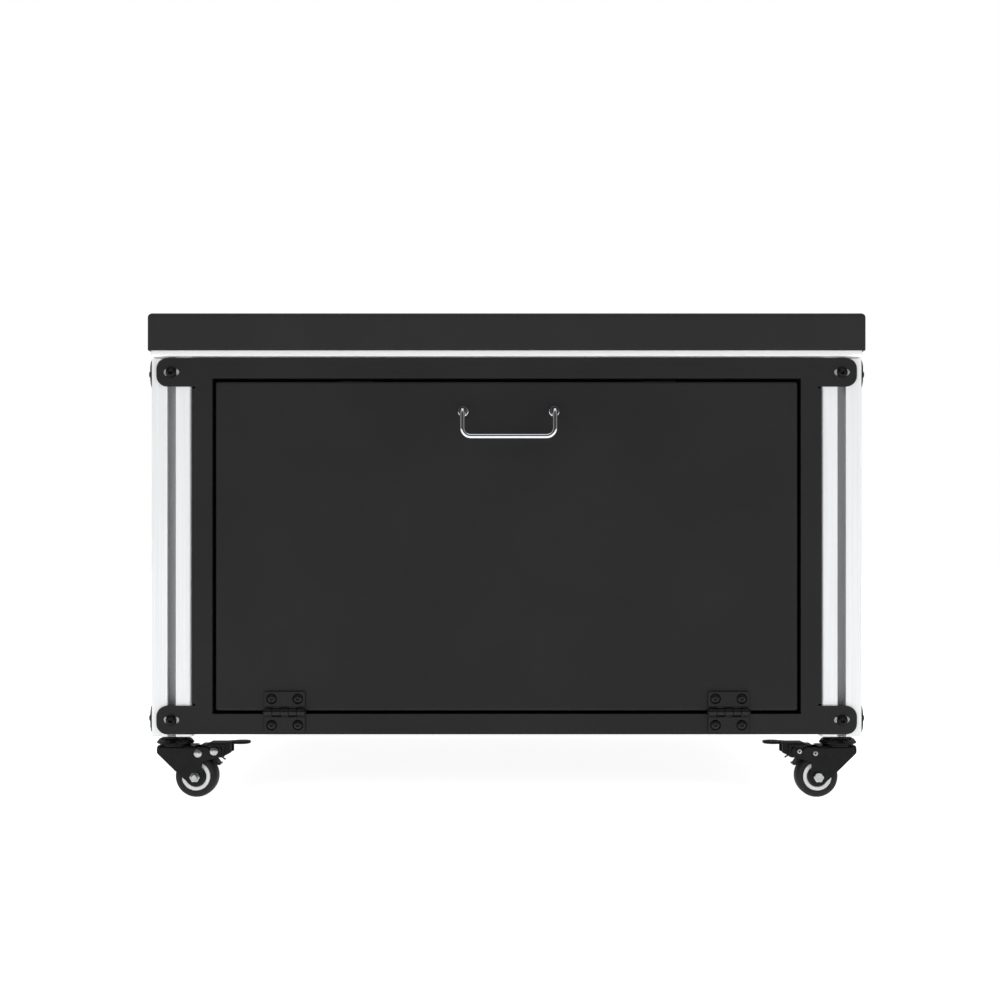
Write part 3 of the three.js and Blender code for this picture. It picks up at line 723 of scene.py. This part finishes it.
def catches():
    """The two magnetic catches behind the door's top edge, each with its steel pole plate."""
    along, out, up = POLE_INSET
    for hand in ("left", "right"):
        node = f"magnet_catch_{hand}"
        low, high = box_mm(node)
        piece(f"catch_body_{hand}", block(low, high, CATCH_EDGE), "catch", "bench", node)
        plate_low = Vector((low.x + along, low.y - out, low.z + up))
        plate_high = Vector((high.x - along, low.y + 1, high.z - up))
        piece(f"catch_pole_{hand}", block(plate_low, plate_high, POLE_EDGE), "zinc", "bench")


# --- fasteners ------------------------------------------------------------------------------------


def button_head(radius, height, socket, depth):
    """A domed head on z = 0 with a hexagon socket in its top."""
    dome = [
        (radius * math.cos(math.radians(a)), height * 0.18 + height * 0.82 * math.sin(math.radians(a)))
        for a in (0, 18, 36, 54)
    ]
    brim = [(socket * 1.3, height)] if dome[-1][0] > socket * 1.35 else []
    return turned([
        (radius * 0.3, 0), (radius - 0.2, 0), (radius, 0.2), *dome, *brim,
        (socket, height - 0.25, 6), (socket, height - depth, 6),
        (socket * 0.4, height - depth - socket * 0.3),
    ])


def ear_bolt():
    """A bolt along Z, its head on z = 0, with its shank and the slot nut behind it."""
    shape = button_head(BOLT_HEAD, BOLT_HEAD_HEIGHT, BOLT_SOCKET, BOLT_SOCKET_DEPTH)
    merge(shape, turned([(BOLT - 0.6, -BOLT_REACH), (BOLT, -BOLT_REACH + 0.6), (BOLT, 0.05)], sides=16))
    width, height, length = SLOT_NUT
    nut_top = -NUT_FACE
    merge(shape, block((-width / 2, -length / 2, nut_top - height), (width / 2, length / 2, nut_top), 0.8))
    return shape


def outward(axis, sign):
    """The turn that points Z out of a face of the bench, with Y upright."""
    if axis == 1:
        return Matrix.Rotation(math.radians(90), 4, "X") if sign < 0 else (
            Matrix.Rotation(math.radians(180), 4, "Z") @ Matrix.Rotation(math.radians(90), 4, "X"))
    return Matrix.Rotation(math.radians(90 * sign), 4, "Z") @ Matrix.Rotation(math.radians(90), 4, "X")


def ear_bolts():
    """The bolts of the front and side panels stand for model nodes; the back panel's are the same."""
    for side, axis, sign in (("front", 1, -1), ("right", 0, 1), ("left", 0, -1)):
        for level in ("lower", "upper"):
            for end in ("a", "b"):
                node = f"ear_bolt_{side}_{level}_{end}"
                low, high = box_mm(node)
                middle = (low + high) / 2
                middle[axis] = (high if sign > 0 else low)[axis] - sign * BOLT_HEAD_HEIGHT
                shape = ear_bolt()
                shape.transform(Matrix.Translation(middle) @ outward(axis, sign))
                piece(f"bolt_{side}_{level}_{end}", shape, "bolt", "bench", node)
    low, high = box_mm("back_panel")
    left, right = box_mm("post_back_left"), box_mm("post_back_right")
    for end, post in (("a", right), ("b", left)):
        for level, z in (("lower", low.z + EAR_BOLT_INSET), ("upper", high.z - EAR_BOLT_INSET)):
            shape = ear_bolt()
            middle = Vector(((post[0].x + post[1].x) / 2, high.y, z))
            shape.transform(Matrix.Translation(middle) @ outward(1, 1))
            piece(f"bolt_back_{level}_{end}", shape, "bolt", "bench")


# --- door -----------------------------------------------------------------------------------------


def door():
    """The door: a pan folded back on all sides, with a lip turned in along its rear edge."""
    low, high = box_mm("door")
    half_x, half_z, depth = (high.x - low.x) / 2, (high.z - low.z) / 2, high.y - low.y
    sheet, lip, corner = DOOR_SHEET, DOOR_LIP, DOOR_INSIDE_CORNER
    steps = [
        (half_x - sheet, half_z - sheet, corner, -sheet),
        (half_x - sheet, half_z - sheet, corner, -(depth - sheet)),
        (half_x - sheet - lip, half_z - sheet - lip, corner, -(depth - sheet)),
        (half_x - sheet - lip, half_z - sheet - lip, corner, -depth),
        (half_x - FOLD, half_z - FOLD, DOOR_CORNER - FOLD + 0.3, -depth),
        (half_x - 0.4, half_z - 0.4, DOOR_CORNER, -depth + 0.5),
        (half_x, half_z, DOOR_CORNER, -depth + FOLD),
    ]
    for i in range(ROLL_STEPS + 1):
        angle = math.radians(90 * i / ROLL_STEPS)
        inset = DOOR_EDGE * (1 - math.cos(angle))
        height = -DOOR_EDGE + DOOR_EDGE * math.sin(angle)
        steps.append((half_x - inset, half_z - inset, DOOR_CORNER - inset * 0.6, height))
    shape = pan(steps)
    centre = Vector(((low.x + high.x) / 2, low.y, (low.z + high.z) / 2))
    shape.transform(Matrix.Translation(centre) @ FACING_FRONT)
    piece("door_pan", shape, "panel", "door", "door")


def arc(corner, before, after, radius, steps=7):
    """Points of a round bend at a corner between two directions."""
    corner, before, after = Vector(corner), Vector(before).normalized(), Vector(after).normalized()
    centre = corner + (before + after) * radius
    return [
        centre - radius * (after * math.cos(t) + before * math.sin(t))
        for t in (math.pi / 2 * i / steps for i in range(steps + 1))
    ]


def handle():
    """The bent-rod pull with a rosette at each foot and a nut behind the sheet."""
    low, high = box_mm("door_handle")
    face = box_mm("door")[0].y
    middle = (low.x + high.x) / 2
    half = (high.x - low.x) / 2 - ROSETTE + 0.1
    legs = high.z - ROSETTE + 0.1
    bar = low.z + ROD
    out = low.y + ROD
    back = face + DOOR_SHEET + 0.3 + HANDLE_NUT_HEIGHT
    left, right = middle - half, middle + half
    inwards, down, up, rightwards, leftwards = (0, 1, 0), (0, 0, -1), (0, 0, 1), (1, 0, 0), (-1, 0, 0)
    path = [(left, back, legs)]
    path += arc((left, out, legs), inwards, down, ROD_ELBOW)
    path += arc((left, out, bar), up, rightwards, ROD_BAR_BEND)
    path += arc((right, out, bar), leftwards, up, ROD_BAR_BEND)
    path += arc((right, out, legs), down, inwards, ROD_ELBOW)
    path += [(right, back, legs)]
    piece("pull_rod", swept(path, ROD), "chrome", "door", "door_handle")
    for hand, x in (("left", left), ("right", right)):
        rosette = turned([
            (ROD - 0.2, 0), (ROSETTE - 0.3, 0), (ROSETTE, 0.3), (ROSETTE, ROSETTE_HEIGHT - 0.5),
            (ROSETTE - 0.5, ROSETTE_HEIGHT), (ROD - 0.2, ROSETTE_HEIGHT),
        ], closed=True)
        rosette.transform(Matrix.Translation((x, face, legs)) @ FACING_FRONT)
        piece(f"pull_rosette_{hand}", rosette, "chrome", "door")
        nut = turned([
            (HANDLE_NUT - 0.4, 0), (HANDLE_NUT, 0.4, 6), (HANDLE_NUT, HANDLE_NUT_HEIGHT - 0.4, 6),
            (HANDLE_NUT - 0.4, HANDLE_NUT_HEIGHT),
        ])
        nut.transform(Matrix.Translation((x, back, legs)) @ FACING_FRONT)
        piece(f"pull_nut_{hand}", nut, "zinc", "door")


def hinge_leaf(up):
    """One leaf and its knuckles about X through the origin, the leaf's outer face towards -Y."""
    reach = HINGE / 2
    face = KNUCKLE - LEAF / 2
    clear = KNUCKLE + KNUCKLE_GAP + LEAF_SETBACK
    outline = rounded_outline(reach, (reach - clear) / 2, LEAF_CORNER, centre=(0, up * (reach + clear) / 2))
    holes = [
        [
            (
                side * SCREW_OFFSET + SCREW_HOLE * math.cos(-math.tau * i / 24),
                up * SCREW_OFFSET + SCREW_HOLE * math.sin(-math.tau * i / 24),
            )
            for i in range(24)
        ]
        for side in (-1, 1)
    ]
    leaf = plate([outline, *holes], LEAF, 0.35)
    leaf.transform(Matrix.Translation((0, face, 0)) @ FACING_FRONT)
    pitch = HINGE / KNUCKLES
    first = 0 if up < 0 else 1
    for i in range(first, KNUCKLES, 2):
        start = -reach + i * pitch + KNUCKLE_GAP / 2
        end = start + pitch - KNUCKLE_GAP
        barrel = turned([
            (PIN + 0.05, start), (KNUCKLE - 0.3, start), (KNUCKLE, start + 0.3),
            (KNUCKLE, end - 0.3), (KNUCKLE - 0.3, end), (PIN + 0.05, end),
        ], closed=True)
        merge(leaf, barrel, Matrix.Rotation(math.radians(90), 4, "Y"))
        lower, upper = sorted((0, up * (clear + 1)))
        web_low, web_high = (start + 0.2, KNUCKLE - LEAF + 0.7, lower), (end - 0.2, KNUCKLE - 0.02, upper)
        merge(leaf, block(web_low, web_high, 0.2))
    return leaf


def hinges():
    """The two butt hinges: a leaf on the frame, a leaf on the door, four screws and the pin of each."""
    for hand in ("left", "right"):
        low, high = box_mm(f"hinge_pin_{hand}")
        axis = (low + high) / 2
        place = Matrix.Translation(axis)
        for kind, up, body in (("frame", -1, "bench"), ("door", 1, "door")):
            leaf = hinge_leaf(up)
            leaf.transform(place)
            piece(f"leaf_{kind}_{hand}", leaf, "hinge", body, f"hinge_{kind}_leaf_{hand}")
            for end, side in (("a", -1), ("b", 1)):
                screw = button_head(SCREW_HEAD, SCREW_HEAD_HEIGHT, SCREW_SOCKET, SCREW_SINK)
                seat = Vector((side * SCREW_OFFSET, KNUCKLE - LEAF + SCREW_SINK, up * SCREW_OFFSET))
                screw.transform(place @ Matrix.Translation(seat) @ FACING_FRONT)
                piece(f"hinge_screw_{kind}_{hand}_{end}", screw, "hinge", body)
        half = (high.x - low.x) / 2
        pin = turned([
            (1.4, -half), (2.3, -half + 0.3), (2.6, -half + 0.8), (PIN, -half + 0.9),
            (PIN, half - 0.9), (2.6, half - 0.8), (2.3, half - 0.3), (1.4, half),
        ])
        pin.transform(place @ Matrix.Rotation(math.radians(90), 4, "Y"))
        piece(f"pin_{hand}", pin, "hinge", "bench", f"hinge_pin_{hand}")


# --- castors --------------------------------------------------------------------------------------


def cheek_outline():
    """One cheek in X and height: down from the crown to the axle boss, and out to the brake bracket."""
    x, z = BRAKE_PIVOT
    start = [
        (-16, 50.2), (-16, 44.6), (3.0, 26.0), (12.6, 17.5), (17.5, 12.2), (26.5, 12.2), (30.6, 18.0),
        (28.6, 30.0), (29.0, 36.2),
    ]
    radii = [0.8, 3, 12, 4, 8, 8, 8, 10, 3, 0, 8, 4]
    outline = eased([*start, (x, z - PIVOT_BOSS), (36, 51.2), (22, 50.0)], radii, steps=5)
    boss = [
        (x + PIVOT_BOSS * math.sin(math.radians(a)), z - PIVOT_BOSS * math.cos(math.radians(a)))
        for a in range(12, 130, 9)
    ]
    foot = Vector((x, z - PIVOT_BOSS))
    turn = min(range(len(outline)), key=lambda i: (Vector(outline[i]) - foot).length) + 1
    return outline[:turn] + boss + outline[turn:]


def crown():
    """The fork's crown plate with the two bends that turn down into the cheeks."""
    outer, sheet, bend = CHEEK_OUTER, CHEEK_SHEET, CROWN_BEND
    top, low = CUP_BOTTOM + 0.05, CROWN_BOTTOM - 3.2
    section = []
    for sign in (1, -1):
        leg = [(sign * outer, low)]
        for i in range(6):
            angle = math.radians(90 * i / 5)
            leg.append((sign * (outer - bend + bend * math.cos(angle)), top - bend + bend * math.sin(angle)))
        section += leg if sign > 0 else leg[::-1]
    inner = outer - sheet
    section += [(-inner, low), (-inner, CROWN_BOTTOM), (inner, CROWN_BOTTOM), (inner, low)]
    return skinned([[(x, y, z) for y, z in section] for x in (-15.6, 21.6)])


def standing(shape, y):
    """Turns a flat shape upright so that it lies in X and Z at this place along Y."""
    shape.transform(Matrix.Translation((0, y, 0)) @ FACING_FRONT)
    return shape


def fork():
    """The swivel cup, the crown plate under it and the two cheeks, riveted into one."""
    cup = turned([
        (STEM + 0.4, CUP_TOP), (CUP - 8.5, CUP_TOP), (CUP - 5.0, CUP_TOP - 0.6), (CUP - 2.4, CUP_TOP - 1.9),
        (CUP - 1.0, CUP_TOP - 3.8), (CUP - 0.2, CUP_TOP - 4.6), (CUP, CUP_TOP - 5.3),
        (CUP - 0.3, CUP_TOP - 6.1),
        (CUP - 2.6, CUP_TOP - 6.6), (CUP - 3.4, CUP_BOTTOM + 0.6), (CUP - 3.4, CUP_BOTTOM - 0.8),
        (STEM + 0.4, CUP_BOTTOM - 0.8),
    ], sides=48, closed=True)
    merge(cup, crown())
    for side in (-1, 1):
        middle = side * (CHEEK_OUTER - CHEEK_SHEET / 2)
        merge(cup, standing(plate([cheek_outline()], CHEEK_SHEET - 0.06, 0.45), middle))
    return cup


def rivets():
    """The fork's two cross rivets: domed heads on the near side, hollow upset tails on the far side."""
    shape = bmesh.new()
    for x, z in (REAR_RIVET, BRAKE_PIVOT):
        face, tail = CHEEK_OUTER, CHEEK_OUTER + 1.0
        rim, rise = face + 0.3, RIVET_HEAD_HEIGHT - 0.3
        dome = [
            (RIVET_HEAD * math.cos(math.radians(a)), rim + rise * math.sin(math.radians(a)))
            for a in (80, 60, 40, 20, 0)
        ]
        made = turned([
            (RIVET_TAIL * 0.3, -tail + 1.8), (RIVET_TAIL * 0.45, -tail), (RIVET_TAIL * 0.9, -tail + 0.1),
            (RIVET_TAIL, -face), (1.5, -face + 0.1), (1.5, face - 0.1),
            (RIVET_HEAD, face), *reversed(dome),
        ])
        merge(shape, made, Matrix.Translation((x, 0, z)) @ FACING_FRONT)
    return shape


def axle():
    """The axle: a hexagon head on the far side, and on the near side a locking nut with the thread's end in
    its dark nylon ring."""
    seat = CHEEK_OUTER + 0.3
    across, high = AXLE_HEAD * math.cos(math.pi / 6) + 0.35, AXLE_HEAD_HEIGHT
    shape = turned([
        (across - 0.5, -seat - high), (across, -seat - high + 0.5, 6), (across, -seat - 0.5, 6),
        (across - 0.3, -seat), (AXLE_BOLT, -seat), (AXLE_BOLT, seat),
        (across - 0.3, seat), (across, seat + 0.5, 6), (across, seat + high * 0.62, 6),
        (across - 0.6, seat + high * 0.68), (across - 0.7, seat + high * 0.95), (across - 1.2, seat + high),
        (AXLE_BOLT + 0.35, seat + high), (AXLE_BOLT + 0.35, seat + high - 0.5),
        (AXLE_BOLT - 0.1, seat + high - 0.5),
        (AXLE_BOLT - 0.1, seat + high + 0.8), (AXLE_BOLT - 0.7, seat + high + 1.3),
    ])
    for face in shape.faces:
        middle = face.calc_center_median()
        reach = math.hypot(middle.x, middle.y)
        in_ring = AXLE_BOLT - 0.1 < reach < across - 1.0
        face.material_index = int(in_ring and middle.z > seat + high - 0.55)
    shape.transform(Matrix.Translation((AXLE[0], 0, AXLE[1])) @ FACING_FRONT)
    return shape


def on_axle(steps, sides=56):
    """A ring turned from closed steps and set round the axle, with heights along it."""
    shape = turned(steps, sides=sides, closed=True)
    shape.transform(Matrix.Translation((AXLE[0], 0, AXLE[1])) @ FACING_FRONT)
    return shape


def tyre():
    """The tread: flat in the middle, well rounded at its shoulders."""
    half, inside = WHEEL_WIDTH / 2, CORE + 0.15
    right = [
        (WHEEL, half - 6.5), (WHEEL - 0.12, half - 4.6), (WHEEL - 0.5, half - 2.8), (WHEEL - 1.2, half - 1.4),
        (WHEEL - 2.3, half - 0.5), (WHEEL - 3.6, half - 0.15), (inside + 0.6, half), (inside, half - 0.4),
    ]
    return on_axle([(r, -h) for r, h in reversed(right)] + right)


def wheel_ring():
    """The core's outer ring, which stands between the tyre and the hub cap."""
    half = WHEEL_WIDTH / 2 - 0.6
    right = [(CORE, half - 0.5), (CORE - 0.5, half), (HUB + 0.5, half), (HUB, half - 0.5)]
    return on_axle([(r, -h) for r, h in reversed(right)] + right)


def hub_cap(side):
    """A dished cap inside the ring, with a raised boss round the axle."""
    half = WHEEL_WIDTH / 2
    steps = [
        (HUB - 0.1, half - 3.5), (HUB - 0.1, half - 2.0), (HUB - 0.8, half - 1.7), (8.2, half - 1.6),
        (7.2, half - 0.5), (6.6, half - 0.25), (AXLE_BOLT + 0.4, half - 0.25), (AXLE_BOLT + 0.4, half - 3.5),
    ]
    return on_axle([(r, side * h) for r, h in steps], sides=48)


def bent_strip(line, thickness, half_width):
    """A strip of sheet bent along a line in X and Z, its width along Y."""
    over, under = [], []
    for i, point in enumerate(line):
        ahead = Vector(line[min(i + 1, len(line) - 1)]) - Vector(line[max(i - 1, 0)])
        across = Vector((-ahead.y, ahead.x)).normalized() * thickness / 2
        over.append(tuple(Vector(point) + across))
        under.append(tuple(Vector(point) - across))
    rim = over + under[::-1]
    shape = skinned([[(x, y, z) for x, z in rim] for y in (-half_width, half_width)])
    ends = [e for e in shape.edges if e.calc_face_angle(0) > math.radians(60)]
    bmesh.ops.bevel(shape, geom=ends, offset=0.3, segments=1, affect="EDGES", profile=0.5, clamp_overlap=True)
    return shape


def pedal():
    """The brake pedal: a cranked lever with a rounded toe tab, side plates on the pivot, a dark end stop that
    is painted shade, a curved shoe over the tyre and the leg of its return spring."""
    x, z = BRAKE_PIVOT
    half = CHEEK_OUTER - CHEEK_SHEET - 0.3
    tab_z = PEDAL_TAB_BOTTOM + PEDAL_SHEET / 2 + TAB_RISE
    middle = (BRACKET_END - 1 + PEDAL_TIP) / 2
    toe = rounded_outline(PEDAL_TIP - middle, PEDAL_TAB, PEDAL_TAB - 1.5, steps=9, centre=(middle, 0))
    tab = plate([toe], TAB_THICK, 0.8)
    tab.transform(Matrix.Translation((0, 0, tab_z)))
    lever_z = PEDAL_TAB_BOTTOM + PEDAL_SHEET / 2
    lever = [
        (x - 13.5, lever_z - 2.0), (x - 8.5, lever_z - 1.9), (x - 4.5, lever_z), (x + 10.5, lever_z),
        (x + 15.5, tab_z - 0.02), (x + 18.5, tab_z - 0.02),
    ]
    merge(tab, bent_strip(lever, PEDAL_SHEET, half - 1.6))
    for side in (-1, 1):
        side_plate = eased([
            (x - 8, lever_z - 0.6), (x - 8, z - 3), (x - 3, z - 7), (x + 7.5, z - 6.4), (x + 10.2, z - 5.4),
            (x + 10.2, lever_z - 0.6),
        ], [0.5, 3, 3, 2, 1, 0.5])
        merge(tab, standing(plate([side_plate], PEDAL_SHEET, 0.4), side * (half - PEDAL_SHEET / 2)))
    # The end stop's plates and cross block wear the near-black inside finish: painted shade inside the
    # bracket.
    stop = [(x + 9.2, lever_z - 0.7), (x + 9.2, z - 5.4), (x + 16.3, z - 1.6), (x + 16.3, lever_z + 0.4)]
    for side in (-1, 1):
        merge(tab, marked(standing(plate([stop], PEDAL_SHEET, 0.4), side * (half - 2.4))))
    merge(tab, marked(block((x + 9.4, -half + 2, z - 4.6), (x + 11, half - 2, lever_z - 0.4), 0.3)))
    strap = [
        (AXLE[0] + reach * math.cos(math.radians(a)), AXLE[1] + reach * math.sin(math.radians(a)))
        for a, reach in [*((a, SHOE) for a in range(64, 26, -5)), (26, SHOE + SHOE_LIP)]
    ]
    merge(tab, bent_strip(strap, SHOE_SHEET, SHOE_HALF_WIDTH))
    post_low = (x - 4, -half + 0.5, AXLE[1] + SHOE * 0.78)
    merge(tab, block(post_low, (x - 1.4, half - 0.5, lever_z - 0.6), 0.3))
    spring = [(x + 4.0, -half + 3, z - 3.5), (x + 6.4, -half + 3, z - 5.6), (x + 10.8, -half + 3, z - 8.5)]
    merge(tab, marked(swept(spring, 0.8, sides=10)))
    return tab


def stem():
    """The threaded stem's outline, with its collar over the cup and its riveted foot under the crown."""
    collar = CUP_TOP + 1.6
    return turned([
        (STEM - 0.8, STEM_TOP), (STEM, STEM_TOP - 0.8), (STEM, collar), (STEM_COLLAR - 0.3, collar),
        (STEM_COLLAR, collar - 0.3), (STEM_COLLAR, collar - 0.9), (STEM_COLLAR - 0.3, collar - 1.2),
        (STEM, collar - 1.2), (STEM, CROWN_BOTTOM - 0.3), (6.5, CROWN_BOTTOM - 0.3),
        (6.3, CROWN_BOTTOM - 1.2), (5.0, CROWN_BOTTOM - 2.3), (2.5, CROWN_BOTTOM - 2.3),
        (2.0, CROWN_BOTTOM - 1.2),
    ], sides=32)


def castors():
    """The four castors, each set under its post and turned so that its wheel trails towards the middle."""
    for corner, turn in CORNERS.items():
        low, high = box_mm(f"castor_stem_{corner}")
        centre = (low + high) / 2
        place = Matrix.Translation((centre.x, centre.y, 0)) @ Matrix.Rotation(math.radians(turn), 4, "Z")
        swivel, wheel, brake = (f"{part}_{corner}" for part in ("swivel", "wheel", "brake"))
        for name, shape, finish, inside, body, replaced in (
            ("stem", stem(), "zinc", None, "bench", ["castor_stem"]),
            ("fork", fork(), "castor", None, swivel, ["castor_fork"]),
            ("rivets", rivets(), "zinc", None, swivel, []),
            ("axle", axle(), "zinc", "hub", swivel, ["castor_axle"]),
            ("tread", tyre(), "tyre", None, wheel, ["tyre"]),
            ("core", wheel_ring(), "core", None, wheel, ["wheel_core"]),
            ("hub_near", hub_cap(-1), "hub", None, wheel, []),
            ("hub_far", hub_cap(1), "hub", None, wheel, []),
            # The pedal's inside finish, the near-black bolt steel, paints the shade inside the brake bracket
            # on its end stop.
            ("pedal", pedal(), "castor", "bolt", brake, ["brake_pedal"]),
        ):
            shape.transform(place)
            stands_for = (f"{node}_{corner}" for node in replaced)
            piece(f"castor_{name}_piece_{corner}", shape, finish, body, *stands_for, inside=inside)


studio()
posts()
rails()
worktop()
panels()
catches()
ear_bolts()
door()
handle()
hinges()
castors()
